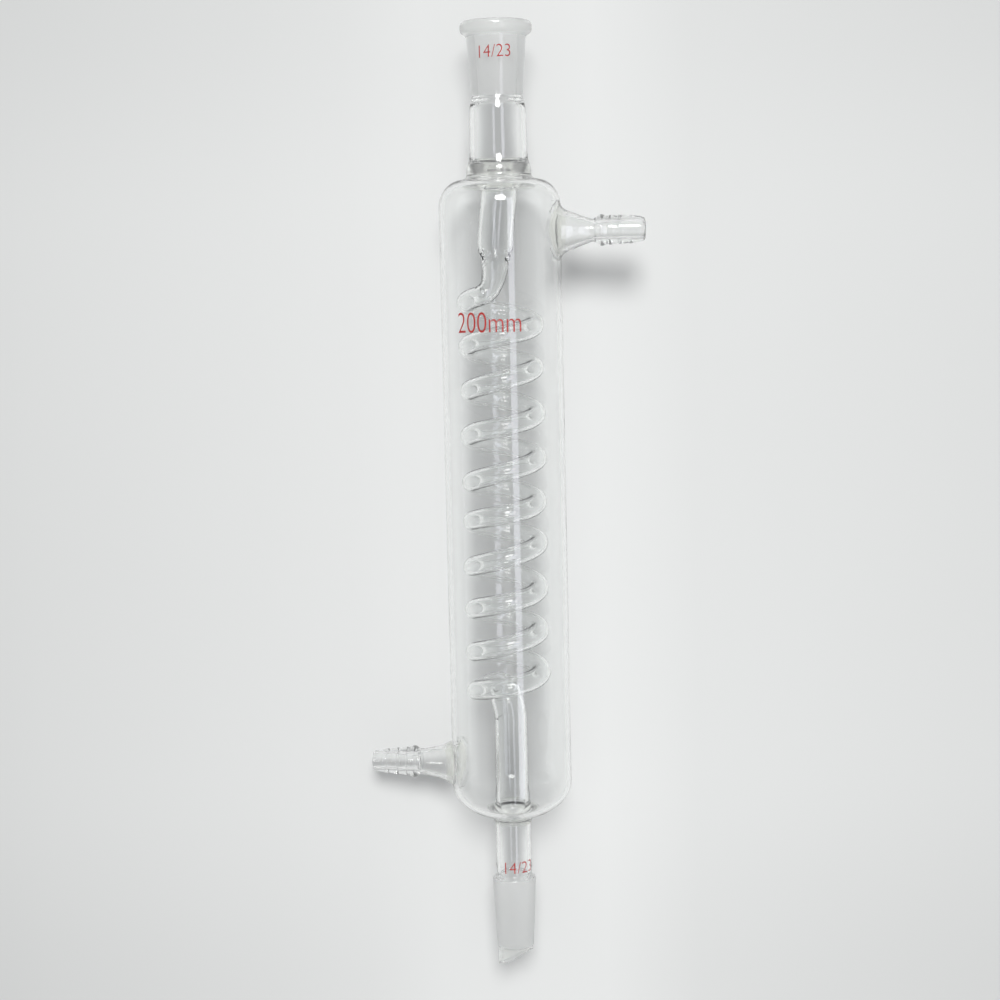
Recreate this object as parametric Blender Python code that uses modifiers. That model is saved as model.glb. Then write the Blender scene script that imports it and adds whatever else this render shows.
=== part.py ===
"""A coiled condenser of lampworked glass, lying on its side on a bench.

Every piece is built upright first: the condenser's axis is local Z, with the drip tip at
z = 0 and the ground socket on top. Local +X is the way the upper side arm points, and the
lower side arm points along -X. The empty called condenser_axis then lays the whole glass
down along world +Y, with the jacket resting on z = 0, and rolls it a little, so that the
upper arm points slightly up from level and the lower arm slightly down.
"""

import math

import bpy
from mathutils import Vector

# Clearance left between neighbouring pieces that are fused together on the real glass.
GAP = 0.0003

# Ground joints, taper 1:10 on the diameter.
JOINT_LARGE_R = 0.00725
JOINT_SMALL_R = 0.00610
JOINT_LENGTH = 0.0230

# The path of the vapour: stem, drip tip and the straight tubes inside share one tube stock.
TUBE_R = 0.0060
TUBE_WALL = 0.0012
TUBE_BORE_R = TUBE_R - TUBE_WALL

# Drip tip, with its end cut on a slant.
TIP_R = 0.0058
TIP_LENGTH = 0.0079
TIP_SLANT = 0.0070

# Stem between the cone and the jacket.
STEM_LENGTH = 0.0206
CONE_SHOULDER = 0.0014

# Water jacket.
JACKET_R = 0.0200
JACKET_WALL = 0.0015
JACKET_STRAIGHT = 0.1916
BASE_DOME = 0.0127
CROWN_RISE = 0.0089
CROWN_FLAT_R = 0.0120
JACKET_SIDES = 48

# Ring seals where tubes pass through the ends of the jacket.
TOP_RING_R = 0.0103
TOP_RING_HEIGHT = 0.0038
BASE_RING_R = 0.0072
BASE_RING_HEIGHT = 0.0052

# Neck and socket.
NECK_R = 0.0094
NECK_WALL = 0.0015
NECK_LENGTH = 0.0200
SOCKET_SHOULDER = 0.0039
SOCKET_FOOT_R = 0.0083
SOCKET_HEAD_R = 0.00965
RIM_R = 0.01175
RIM_HEIGHT = 0.0045

# Coil: a right-handed helix between the drop tube and the outlet tube.
COIL_MEAN_R = 0.01085
COIL_TUBE_R = 0.0033
COIL_WALL = 0.0009
COIL_PITCH = 0.0144
COIL_TURNS = 9
COIL_POINTS_PER_TURN = 16
COIL_ABOVE_BASE = 0.0438
INLET_SWEEP = math.radians(50)
INLET_BEND_HEIGHT = 0.0150
OUTLET_BEND_HEIGHT = 0.0170
BEND_STEPS = 9
LEAD = 0.3 * COIL_TUBE_R

# Side arms and hose barbs. The reach is from the jacket's skin to the joint with the barb.
ARM_R = 0.0041
ARM_BORE_R = 0.0029
ARM_FOOT_R = 0.0077
ARM_FOOT_BORE_R = 0.0056
ARM_FLARE = 0.0085
ARM_REACH = 0.0112
BARB_LENGTH = 0.0165
BARB_BORE_R = 0.0019
BARB_COLLAR_R = 0.0054
BARB_END_R = 0.0031
# The barb's ridges, as distance back from its end and radius.
BARB_RIDGES = (
    (0.0000, BARB_END_R),
    (0.0023, 0.00395),
    (0.0043, 0.00440),
    (0.0045, 0.00410),
    (0.0077, 0.00470),
    (0.0079, 0.00430),
    (0.0110, 0.00490),
    (0.0112, 0.00435),
)
UPPER_ARM_BELOW_CROWN = 0.0084
LOWER_ARM_ABOVE_BASE = 0.0062

# Heights of the joints along the axis, from the drip tip up.
CONE_FOOT_Z = TIP_LENGTH
CONE_HEAD_Z = CONE_FOOT_Z + JOINT_LENGTH
BASE_Z = CONE_HEAD_Z + STEM_LENGTH
JACKET_LOW_Z = BASE_Z + BASE_DOME
JACKET_HIGH_Z = JACKET_LOW_Z + JACKET_STRAIGHT
CROWN_Z = JACKET_HIGH_Z + CROWN_RISE
NECK_FOOT_Z = CROWN_Z + TOP_RING_HEIGHT
NECK_HEAD_Z = NECK_FOOT_Z + NECK_LENGTH
SOCKET_BORE_Z = NECK_HEAD_Z + SOCKET_SHOULDER
OVERALL_LENGTH = SOCKET_BORE_Z + JOINT_LENGTH
UPPER_ARM_Z = JACKET_HIGH_Z - UPPER_ARM_BELOW_CROWN
LOWER_ARM_Z = JACKET_LOW_Z + LOWER_ARM_ABOVE_BASE
COIL_FOOT_Z = BASE_Z + COIL_ABOVE_BASE
ARM_JOINT = JACKET_R + ARM_REACH
BARB_END = ARM_JOINT + BARB_LENGTH

# Lying at rest: one flat of the jacket is on the bench. The two arms balance each other, so the
# glass can stop at any roll, and it lies a little off level.
AXIS_HEIGHT = JACKET_R * math.cos(math.pi / JACKET_SIDES)
ROLL = math.radians(10)


def clear_scene():
    for obj in list(bpy.data.objects):
        bpy.data.objects.remove(obj, do_unlink=True)
    for group in list(bpy.data.collections):
        bpy.data.collections.remove(group)


def make_collection(name, hidden):
    group = bpy.data.collections.new(name)
    bpy.context.scene.collection.children.link(group)
    group.hide_render = hidden
    return group


def make_material(name, colour, roughness, transmission):
    material = bpy.data.materials.new(name)
    material.use_nodes = True
    shader = material.node_tree.nodes["Principled BSDF"]
    shader.inputs["Base Color"].default_value = (*colour, 1.0)
    shader.inputs["Roughness"].default_value = roughness
    shader.inputs["Transmission Weight"].default_value = transmission
    shader.inputs["IOR"].default_value = 1.47
    material.diffuse_color = (*colour, 1.0)
    return material


def place(obj, parent, group, material=None, location=(0, 0, 0), rotation=(0, 0, 0)):
    group.objects.link(obj)
    obj.parent = parent
    obj.location = location
    obj.rotation_euler = rotation
    if material:
        obj.data.materials.append(material)
    else:
        obj.hide_render = True
        obj.display_type = "WIRE"
    return obj


def revolved(name, profile, sides):
    """A ring turned from a closed outline of (radius, z), outer side downwards first."""
    mesh = bpy.data.meshes.new(name)
    count = len(profile)
    edges = [(i, (i + 1) % count) for i in range(count)]
    mesh.from_pydata([(r, 0.0, z) for r, z in profile], edges, [])
    obj = bpy.data.objects.new(name, mesh)
    turn = obj.modifiers.new("turn", "SCREW")
    turn.axis = "Z"
    turn.steps = turn.render_steps = sides
    turn.use_merge_vertices = True
    turn.merge_threshold = 0.00001
    turn.use_smooth_shade = True
    return obj


def solid_of_revolution(name, profile, sides):
    """A solid turned from an open outline that starts and ends on the axis."""
    mesh = bpy.data.meshes.new(name)
    mesh.from_pydata([(r, 0.0, z) for r, z in profile], [(i, i + 1) for i in range(len(profile) - 1)], [])
    obj = bpy.data.objects.new(name, mesh)
    turn = obj.modifiers.new("turn", "SCREW")
    turn.axis = "Z"
    turn.steps = turn.render_steps = sides
    turn.use_merge_vertices = True
    turn.merge_threshold = 0.00001
    return obj


def straight_tube(name, outer, bore, low, high, sides):
    return revolved(name, [(outer, high), (outer, low), (bore, low), (bore, high)], sides)


def cut(obj, cutter):
    difference = obj.modifiers.new("cut_" + cutter.name, "BOOLEAN")
    difference.operation = "DIFFERENCE"
    difference.solver = "EXACT"
    difference.object = cutter


def swept_tube(name, points, radii, wall, resolution):
    """A hollow tube, open at both ends, that follows a list of points."""
    curve = bpy.data.curves.new(name + "_path", "CURVE")
    curve.dimensions = "3D"
    curve.bevel_depth = 1.0
    curve.bevel_resolution = resolution
    spline = curve.splines.new("POLY")
    spline.points.add(len(points) - 1)
    for target, point, radius in zip(spline.points, points, radii):
        target.co = (*point, 1.0)
        target.radius = radius
    spline.use_smooth = True
    path = bpy.data.objects.new(name + "_path", curve)
    bpy.context.scene.collection.objects.link(path)
    graph = bpy.context.evaluated_depsgraph_get()
    mesh = bpy.data.meshes.new_from_object(path.evaluated_get(graph))
    bpy.data.objects.remove(path, do_unlink=True)
    bpy.data.curves.remove(curve)
    mesh.name = name
    obj = bpy.data.objects.new(name, mesh)
    shell = obj.modifiers.new("wall", "SOLIDIFY")
    shell.thickness = wall
    shell.offset = -1.0
    shell.use_rim = True
    return obj


def arc(centre_r, centre_z, reach_r, reach_z, start, end, count):
    """Points of an elliptical arc in the (radius, z) plane, angles in degrees from +r."""
    found = []
    for step in range(count + 1):
        angle = math.radians(start + (end - start) * step / count)
        found.append((centre_r + reach_r * math.cos(angle), centre_z + reach_z * math.sin(angle)))
    return found


def jacket_outline(offset, top_r, base_r):
    """One skin of the jacket from its top hole down to its base hole, offset outwards."""
    radius = JACKET_R + offset
    dome = BASE_DOME + offset
    base_angle = -math.degrees(math.acos(base_r / radius))
    crown = arc(CROWN_FLAT_R, JACKET_HIGH_Z, radius - CROWN_FLAT_R, CROWN_RISE + offset, 90, 0, 6)
    base = arc(0.0, JACKET_LOW_Z, radius, dome, 0, base_angle, 7)
    return [(top_r, crown[0][1])] + crown + base


def water_jacket():
    top_hole = TOP_RING_R + GAP
    base_hole = BASE_RING_R + GAP
    outer = jacket_outline(0.0, top_hole, base_hole)
    inner = jacket_outline(-JACKET_WALL, top_hole, base_hole)
    return revolved("water_jacket", outer + inner[::-1], JACKET_SIDES)


def jacket_cutter():
    """The room the jacket takes up, with the clearance that the side arms keep from it."""
    skin = jacket_outline(GAP, CROWN_FLAT_R - 0.001, 0.0001)
    low, high = skin[-1][1], skin[0][1]
    return solid_of_revolution("jacket_room", [(0.0, high)] + skin[:-1] + [(0.0, low)], JACKET_SIDES)


def ground_socket():
    rim_foot = OVERALL_LENGTH - RIM_HEIGHT
    outer = [
        (RIM_R - 0.0010, OVERALL_LENGTH),
        (RIM_R - 0.0003, OVERALL_LENGTH - 0.0006),
        (RIM_R, OVERALL_LENGTH - 0.0017),
        (RIM_R, OVERALL_LENGTH - 0.0028),
        (RIM_R - 0.0005, OVERALL_LENGTH - 0.0037),
        (SOCKET_HEAD_R, rim_foot),
        (SOCKET_FOOT_R, SOCKET_BORE_Z),
        (SOCKET_FOOT_R + 0.0003, SOCKET_BORE_Z - 0.0012),
        (NECK_R - 0.0001, NECK_HEAD_Z + 0.0008),
        (NECK_R, NECK_HEAD_Z + GAP),
    ]
    bore = NECK_R - NECK_WALL
    inner = [
        (bore, NECK_HEAD_Z + GAP),
        (bore - 0.0002, NECK_HEAD_Z + 0.0016),
        (JOINT_SMALL_R, SOCKET_BORE_Z),
        (JOINT_LARGE_R, OVERALL_LENGTH),
    ]
    return revolved("ground_socket", outer + inner, 36)


def top_ring_seal():
    head = NECK_FOOT_Z - GAP
    foot = CROWN_Z - JACKET_WALL
    neck_bore = NECK_R - NECK_WALL
    profile = [
        (NECK_R, head),
        (TOP_RING_R - 0.0002, head - 0.0006),
        (TOP_RING_R, head - 0.0014),
        (TOP_RING_R, foot),
        (TUBE_BORE_R, foot),
        (TUBE_BORE_R, foot + 0.0008),
        (neck_bore - 0.0005, head - 0.0013),
        (neck_bore, head),
    ]
    return revolved("top_ring_seal", profile, 36)


def base_ring_seal():
    head = BASE_Z + BASE_RING_HEIGHT
    profile = [
        (TUBE_R, head),
        (TUBE_R + 0.0004, head - 0.0012),
        (BASE_RING_R, BASE_Z + 0.0030),
        (BASE_RING_R, BASE_Z + 0.0006),
        (TUBE_R, BASE_Z - 0.0004),
        (TUBE_BORE_R, BASE_Z - 0.0004),
        (TUBE_BORE_R, head),
    ]
    return revolved("base_ring_seal", profile, 36)


def ground_cone():
    profile = [
        (TUBE_R, CONE_HEAD_Z + CONE_SHOULDER),
        (JOINT_LARGE_R - 0.0004, CONE_HEAD_Z + 0.0005),
        (JOINT_LARGE_R, CONE_HEAD_Z),
        (JOINT_SMALL_R, CONE_FOOT_Z),
        (TUBE_BORE_R, CONE_FOOT_Z),
        (TUBE_BORE_R, CONE_HEAD_Z + CONE_SHOULDER),
    ]
    return revolved("ground_cone", profile, 36)


def side_arm(name):
    """A trumpet of glass on its own Z axis; its foot is trimmed later to the jacket."""
    end = ARM_JOINT - GAP
    foot = JACKET_R + 0.0010
    inside = JACKET_R - 0.0060
    profile = [
        (ARM_R, end),
        (ARM_R, foot + ARM_FLARE),
        (ARM_R + 0.0004, foot + 0.62 * ARM_FLARE),
        (ARM_R + 0.0015, foot + 0.34 * ARM_FLARE),
        (ARM_R + 0.0027, foot + 0.15 * ARM_FLARE),
        (ARM_FOOT_R, foot),
        (ARM_FOOT_R, inside),
        (ARM_FOOT_BORE_R, inside),
        (ARM_FOOT_BORE_R, foot),
        (ARM_BORE_R + 0.0015, foot + 0.25 * ARM_FLARE),
        (ARM_BORE_R + 0.0005, foot + 0.55 * ARM_FLARE),
        (ARM_BORE_R, foot + ARM_FLARE),
        (ARM_BORE_R, end),
    ]
    return revolved(name, profile, 28)


def hose_barb(name):
    """A serrated hose end on its own Z axis: collar at the root, three ridges, bevelled end."""
    ridges = [(radius, BARB_END - back) for back, radius in BARB_RIDGES]
    root = [
        (0.00445, ARM_JOINT + 0.0032),
        (BARB_COLLAR_R - 0.0003, ARM_JOINT + 0.0026),
        (BARB_COLLAR_R, ARM_JOINT + 0.0019),
        (BARB_COLLAR_R - 0.0004, ARM_JOINT + 0.0013),
        (ARM_R + 0.0002, ARM_JOINT + 0.0007),
        (ARM_R + 0.0001, ARM_JOINT),
        (BARB_BORE_R, ARM_JOINT),
        (BARB_BORE_R, BARB_END),
    ]
    return revolved(name, ridges + root, 28)


def coil_angle(z):
    """The helix crosses the bench-side left of the glass, half a turn from +X, at its foot."""
    return math.pi + ROLL + (z - COIL_FOOT_Z) / COIL_PITCH * 2 * math.pi


def coil_point(z):
    angle = coil_angle(z)
    return Vector((COIL_MEAN_R * math.cos(angle), COIL_MEAN_R * math.sin(angle), z))


def coil_heading(z):
    """The direction in which the coil runs downwards at this height."""
    return (coil_point(z - 0.00001) - coil_point(z)).normalized()


def eased_path(start, start_heading, end, end_heading, pull, count):
    """A smooth cubic path between two ends that leaves and arrives along their headings."""
    start = start + start_heading * LEAD
    end = end - end_heading * LEAD
    points = []
    for step in range(count + 1):
        t = step / count
        points.append(
            start * (2 * t**3 - 3 * t**2 + 1)
            + start_heading * pull * (t**3 - 2 * t**2 + t)
            + end * (-2 * t**3 + 3 * t**2)
            + end_heading * pull * (t**3 - t**2)
        )
    return with_leads(points, start_heading, end_heading)


def with_leads(points, start_heading, end_heading):
    """A short straight piece at each end, so that the tube is cut off square to its heading."""
    return [points[0] - start_heading * LEAD] + points + [points[-1] + end_heading * LEAD]


def blend(first, last, count):
    """Radii that ease from one value to another along a path with leads."""
    steps = [step / count for step in range(count + 1)]
    middle = [first + (last - first) * t * t * (3 - 2 * t) for t in steps]
    return [first] + middle + [last]


COIL_HEAD_Z = COIL_FOOT_Z + COIL_PITCH * (COIL_TURNS + INLET_SWEEP / (2 * math.pi))
DROP_FOOT_Z = COIL_HEAD_Z + INLET_BEND_HEIGHT
OUTLET_HEAD_Z = COIL_FOOT_Z - OUTLET_BEND_HEIGHT
COIL_SLOPE = COIL_PITCH / math.hypot(COIL_PITCH, 2 * math.pi * COIL_MEAN_R)


def cooling_coil():
    head, foot = coil_point(COIL_HEAD_Z), coil_point(COIL_FOOT_Z)
    leaving, arriving = coil_heading(COIL_HEAD_Z), coil_heading(COIL_FOOT_Z)
    margin = (GAP + 3 * LEAD) * COIL_SLOPE
    low, high = COIL_FOOT_Z + margin, COIL_HEAD_Z - margin
    count = round(COIL_POINTS_PER_TURN * (high - low) / COIL_PITCH)
    helix = [coil_point(high + (low - high) * step / count) for step in range(count + 1)]
    points = [head + leaving * (GAP + LEAD)] + helix + [foot - arriving * (GAP + LEAD)]
    points = with_leads(points, leaving, arriving)
    return swept_tube("cooling_coil", points, [COIL_TUBE_R] * len(points), COIL_WALL, 2)


def coil_inlet_bend():
    down = Vector((0, 0, -1))
    start = Vector((0, 0, DROP_FOOT_Z - GAP))
    end, heading = coil_point(COIL_HEAD_Z), coil_heading(COIL_HEAD_Z)
    points = eased_path(start, down, end, heading, 1.6 * INLET_BEND_HEIGHT, BEND_STEPS)
    return swept_tube("coil_inlet_bend", points, blend(TUBE_R, COIL_TUBE_R, BEND_STEPS), COIL_WALL, 5)


def coil_outlet_bend():
    down = Vector((0, 0, -1))
    end = Vector((0, 0, OUTLET_HEAD_Z + GAP))
    start, heading = coil_point(COIL_FOOT_Z), coil_heading(COIL_FOOT_Z)
    points = eased_path(start, heading, end, down, 1.4 * OUTLET_BEND_HEIGHT, BEND_STEPS)
    return swept_tube("coil_outlet_bend", points, blend(COIL_TUBE_R, TUBE_R, BEND_STEPS), COIL_WALL, 5)


def build():
    clear_scene()
    glass = make_collection("coiled_condenser", hidden=False)
    cutters = make_collection("cutters", hidden=True)

    axis = bpy.data.objects.new("condenser_axis", None)
    glass.objects.link(axis)
    axis.location = (0.0, -OVERALL_LENGTH / 2, AXIS_HEIGHT)
    axis.rotation_euler = (-math.pi / 2, -ROLL, 0.0)

    clear = (0.86, 0.92, 0.91)
    frosted = (0.93, 0.95, 0.95)
    fused = (0.70, 0.82, 0.76)

    def glass_of(name, colour=clear, roughness=0.03):
        return make_material(name + "_glass", colour, roughness, 0.9)

    jacket = place(
        water_jacket(), axis, glass, glass_of("water_jacket"),
        rotation=(0, 0, ROLL + math.pi / 2 - math.pi / JACKET_SIDES),
    )
    socket_material = make_material("ground_socket_glass", frosted, 0.5, 0.6)
    cone_material = make_material("ground_cone_glass", frosted, 0.5, 0.6)
    place(ground_socket(), axis, glass, socket_material)
    place(ground_cone(), axis, glass, cone_material)

    neck = straight_tube("neck_tube", NECK_R, NECK_R - NECK_WALL, NECK_FOOT_Z, NECK_HEAD_Z, 36)
    place(neck, axis, glass, glass_of("neck_tube"))
    place(top_ring_seal(), axis, glass, glass_of("top_ring_seal", fused))
    place(base_ring_seal(), axis, glass, glass_of("base_ring_seal", fused))

    drop_head = CROWN_Z - JACKET_WALL - GAP
    drop = straight_tube("drop_tube", TUBE_R, TUBE_BORE_R, DROP_FOOT_Z, drop_head, 28)
    place(drop, axis, glass, glass_of("drop_tube"))
    outlet_foot = BASE_Z + BASE_RING_HEIGHT + GAP
    outlet = straight_tube("outlet_tube", TUBE_R, TUBE_BORE_R, outlet_foot, OUTLET_HEAD_Z, 28)
    place(outlet, axis, glass, glass_of("outlet_tube"))
    place(coil_inlet_bend(), axis, glass, glass_of("coil_inlet_bend"))
    place(cooling_coil(), axis, glass, glass_of("cooling_coil"))
    place(coil_outlet_bend(), axis, glass, glass_of("coil_outlet_bend"))

    stem_foot = CONE_HEAD_Z + CONE_SHOULDER + GAP
    stem_head = BASE_Z - 0.0004 - GAP
    stem = straight_tube("lower_stem", TUBE_R, TUBE_BORE_R, stem_foot, stem_head, 28)
    place(stem, axis, glass, glass_of("lower_stem"))

    tip = straight_tube("drip_tip", TIP_R, TUBE_BORE_R, 0.0, TIP_LENGTH - GAP, 28)
    place(tip, axis, glass, glass_of("drip_tip"))
    slant = math.atan2(TIP_SLANT, 2 * TIP_R)
    bpy.ops.mesh.primitive_cube_add(size=1)
    wedge = bpy.context.object
    wedge.name = "slant_cut"
    wedge.data.transform(wedge.matrix_world)
    for vertex in wedge.data.vertices:
        vertex.co = (vertex.co.x * 0.04, vertex.co.y * 0.04, vertex.co.z * 0.02 - 0.010)
    bpy.context.scene.collection.objects.unlink(wedge)
    place(wedge, axis, cutters, location=(0, 0, TIP_SLANT / 2))
    wedge.rotation_mode = "ZYX"
    wedge.rotation_euler = (0.0, -slant, ROLL)
    cut(tip, wedge)

    room = place(jacket_cutter(), axis, cutters, rotation=jacket.rotation_euler)
    for side, height, turn in (("upper", UPPER_ARM_Z, math.pi / 2), ("lower", LOWER_ARM_Z, -math.pi / 2)):
        at = {"location": (0, 0, height), "rotation": (0, turn, 0)}
        arm = place(side_arm(side + "_side_arm"), axis, glass, glass_of(side + "_side_arm"), **at)
        cut(arm, room)
        place(hose_barb(side + "_hose_barb"), axis, glass, glass_of(side + "_hose_barb"), **at)
        port = solid_of_revolution(
            side + "_port",
            [(0.0, JACKET_R + 0.005), (ARM_FOOT_BORE_R, JACKET_R + 0.005), (ARM_FOOT_BORE_R, 0.012), (0.0, 0.012)],
            28,
        )
        place(port, axis, cutters, **at)
        cut(jacket, port)


build()
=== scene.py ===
import math

import bmesh
import bpy
import numpy as np
from mathutils import Matrix, Vector


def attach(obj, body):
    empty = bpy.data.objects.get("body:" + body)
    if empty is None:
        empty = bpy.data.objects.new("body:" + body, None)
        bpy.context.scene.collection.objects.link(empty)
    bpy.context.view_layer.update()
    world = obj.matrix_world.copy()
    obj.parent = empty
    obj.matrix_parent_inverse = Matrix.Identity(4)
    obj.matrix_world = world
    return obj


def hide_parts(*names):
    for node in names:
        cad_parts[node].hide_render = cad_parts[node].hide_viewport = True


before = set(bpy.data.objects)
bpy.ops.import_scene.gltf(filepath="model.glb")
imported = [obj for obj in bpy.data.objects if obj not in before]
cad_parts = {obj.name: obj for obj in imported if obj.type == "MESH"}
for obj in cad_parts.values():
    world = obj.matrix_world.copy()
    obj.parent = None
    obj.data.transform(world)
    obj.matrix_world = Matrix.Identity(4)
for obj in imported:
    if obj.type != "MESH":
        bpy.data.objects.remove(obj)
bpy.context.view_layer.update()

# Sizes are in millimetres. The glass is shaped upright: Z runs from the drip tip to the
# socket and X points to the upper side arm. TO_WORLD lays it on the bench and rolls it.
MM = 0.001
LENGTH = 315.4
AXIS_HEIGHT = 19.957
ROLL = math.radians(10)
AROUND = 128  # faces round the jacket, socket and stem

JACKET_R, JACKET_BORE = 20.0, 18.5
TUBE_R, TUBE_BORE = 6.0, 4.8
NECK_R, NECK_BORE = 9.4, 7.9
OUTLET_R, OUTLET_BORE = 5.5, 4.4
LOW_Z, HIGH_Z = 64.2, 255.8  # ends of the jacket's straight part
NECK_CUT, STEM_CUT = 275.0, 45.0  # where the jacket's skin passes to the socket's and the stem's
DROP_FOOT, OUTLET_HEAD = 243.0, 86.0  # where the straight inner tubes pass to the coil's bends
LEAN = 1.7  # how far the drop tube has drifted off the axis by its foot
ARM_UP, ARM_DOWN = 247.4, 70.4
ARM_JOINT, BARB_END = 31.2, 47.7

TO_WORLD = Matrix.Scale(MM, 4) @ Matrix(
    (
        (math.cos(ROLL), math.sin(ROLL), 0, 0),
        (0, 0, 1, -LENGTH / 2),
        (math.sin(ROLL), -math.cos(ROLL), 0, AXIS_HEIGHT),
        (0, 0, 0, 1),
    )
)
LEFT = np.array([-math.cos(ROLL), -math.sin(ROLL), 0.0])  # level, square to the axis
BEHIND = np.array([-math.sin(ROLL), math.cos(ROLL), 0.0])  # straight down to the bench
DOWN = np.array([0, 0, -1.0])  # along the axis towards the drip tip


# ---------------------------------------------------------------- materials


def new_material(name):
    material = bpy.data.materials.new(name)
    material.use_nodes = True
    tree = material.node_tree
    tree.nodes.clear()
    out = tree.nodes.new("ShaderNodeOutputMaterial")
    return material, tree, out


def node(tree, kind, **settings):
    made = tree.nodes.new(kind)
    for key, value in settings.items():
        setattr(made, key, value)
    return made


def set_range(node_of_range, low, high, to_low=0.0, to_high=1.0):
    node_of_range.inputs["From Min"].default_value = low
    node_of_range.inputs["From Max"].default_value = high
    node_of_range.inputs["To Min"].default_value = to_low
    node_of_range.inputs["To Max"].default_value = to_high


def set_ends(ramp, places, colours):
    for stop, place, colour in zip(ramp.color_ramp.elements, places, colours):
        stop.position = place
        stop.color = (*colour, 1)


def mixed(tree, share, first, second):
    """Two shaders mixed, where share is a fixed part of the second or a socket that says it."""
    mix = node(tree, "ShaderNodeMixShader")
    if isinstance(share, float):
        mix.inputs["Fac"].default_value = share
    else:
        tree.links.new(share, mix.inputs["Fac"])
    tree.links.new(first, mix.inputs[1])
    tree.links.new(second, mix.inputs[2])
    return mix.outputs[0]


def noise_between(tree, scale, first, second, stretch=(1, 1, 1), detail=2.0):
    """A colour that drifts between two others over the piece, and the noise that it follows."""
    where = node(tree, "ShaderNodeTexCoord")
    spread = node(tree, "ShaderNodeMapping")
    spread.inputs["Scale"].default_value = stretch
    cloud = node(tree, "ShaderNodeTexNoise")
    cloud.inputs["Scale"].default_value = scale
    cloud.inputs["Detail"].default_value = detail
    ramp = node(tree, "ShaderNodeValToRGB")
    set_ends(ramp, (0.35, 0.65), (first, second))
    tree.links.new(where.outputs["Object"], spread.inputs["Vector"])
    tree.links.new(spread.outputs["Vector"], cloud.inputs["Vector"])
    tree.links.new(cloud.outputs["Fac"], ramp.inputs["Fac"])
    return ramp.outputs["Color"], cloud.outputs["Fac"]


RIPPLE_SCALE = 90
RIPPLE_STRETCH = (1, 0.25, 1)  # drawn tubes ripple along their length
RIPPLE_DEPTH = 0.0004
HAZE_COLOUR = (0.99, 1.0, 0.995, 1)


def haze(tree):
    """The white of ground or milky glass, half thrown back and half let through."""
    back = node(tree, "ShaderNodeBsdfDiffuse")
    back.inputs["Color"].default_value = HAZE_COLOUR
    through = node(tree, "ShaderNodeBsdfTranslucent")
    through.inputs["Color"].default_value = HAZE_COLOUR
    return mixed(tree, 0.5, back.outputs[0], through.outputs[0])


def shade(tree, levels, turn):
    """What is left of light that goes straight through, face on and at the rim of a piece."""
    rim = node(tree, "ShaderNodeLayerWeight")
    rim.inputs["Blend"].default_value = 0.5
    falloff = node(tree, "ShaderNodeValToRGB")
    set_ends(falloff, turn, [(level,) * 3 for level in levels])
    clear = node(tree, "ShaderNodeBsdfTransparent")
    tree.links.new(rim.outputs["Facing"], falloff.inputs["Fac"])
    tree.links.new(falloff.outputs["Color"], clear.inputs["Color"])
    return clear.outputs[0]


def glass(name, tints, ripple, levels, turn=(0.45, 0.95), roughness=0.0, scatter=0.0):
    """Glass that refracts what is seen through it and casts a graded shadow.

    levels are the light left after one surface, in the middle and at the rim; turn is where
    between them it changes. scatter is the milky part of ground glass.
    """
    material, tree, out = new_material(name)
    colour, cloud = noise_between(tree, RIPPLE_SCALE, *tints, stretch=RIPPLE_STRETCH)
    bump = node(tree, "ShaderNodeBump")
    bump.inputs["Strength"].default_value = ripple
    bump.inputs["Distance"].default_value = RIPPLE_DEPTH
    tree.links.new(cloud, bump.inputs["Height"])
    body = node(tree, "ShaderNodeBsdfPrincipled")
    body.inputs["Transmission Weight"].default_value = 1.0
    body.inputs["IOR"].default_value = 1.47
    body.inputs["Roughness"].default_value = roughness
    tree.links.new(colour, body.inputs["Base Color"])
    tree.links.new(bump.outputs["Normal"], body.inputs["Normal"])
    surface = body.outputs["BSDF"]
    if scatter:
        surface = mixed(tree, scatter, surface, haze(tree))
    path = node(tree, "ShaderNodeLightPath")
    straight_on = node(tree, "ShaderNodeMath", operation="MAXIMUM")
    tree.links.new(path.outputs["Is Shadow Ray"], straight_on.inputs[0])
    tree.links.new(path.outputs["Is Diffuse Ray"], straight_on.inputs[1])
    whole = mixed(tree, straight_on.outputs[0], surface, shade(tree, levels, turn))
    tree.links.new(whole, out.inputs["Surface"])
    return material


def enamel(name):
    material, tree, out = new_material(name)
    colour, _ = noise_between(tree, 900, (0.40, 0.012, 0.010), (0.48, 0.022, 0.016))
    body = node(tree, "ShaderNodeBsdfPrincipled")
    body.inputs["Roughness"].default_value = 0.45
    tree.links.new(colour, body.inputs["Base Color"])
    tree.links.new(body.outputs["BSDF"], out.inputs["Surface"])
    return material


PAPER_TONE = (0.845, 0.857, 0.853)
PAPER_REACH = 0.2  # metres each way from the object that the painted light below covers
# Painted light on the paper at places across it, in metres to the right of the object: a painted pool
# of light beside the glass and painted fall-off of light away from it.
PAPER_PAINTED_LIGHT = (
    (-0.2, 0.79),
    (-0.162, 0.842),
    (-0.128, 0.873),
    (-0.085, 0.915),
    (-0.052, 0.96),
    (-0.025, 1.03),
    (0.032, 1.045),
    (0.065, 0.95),
    (0.115, 0.912),
    (0.159, 0.882),
    (0.2, 0.86),
)
PAPER_PAINTED_END_FALLOFF = (0.09, 0.18, 1.0, 0.93)  # painted fall-off of light beyond the ends of the glass: from, to, levels


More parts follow.
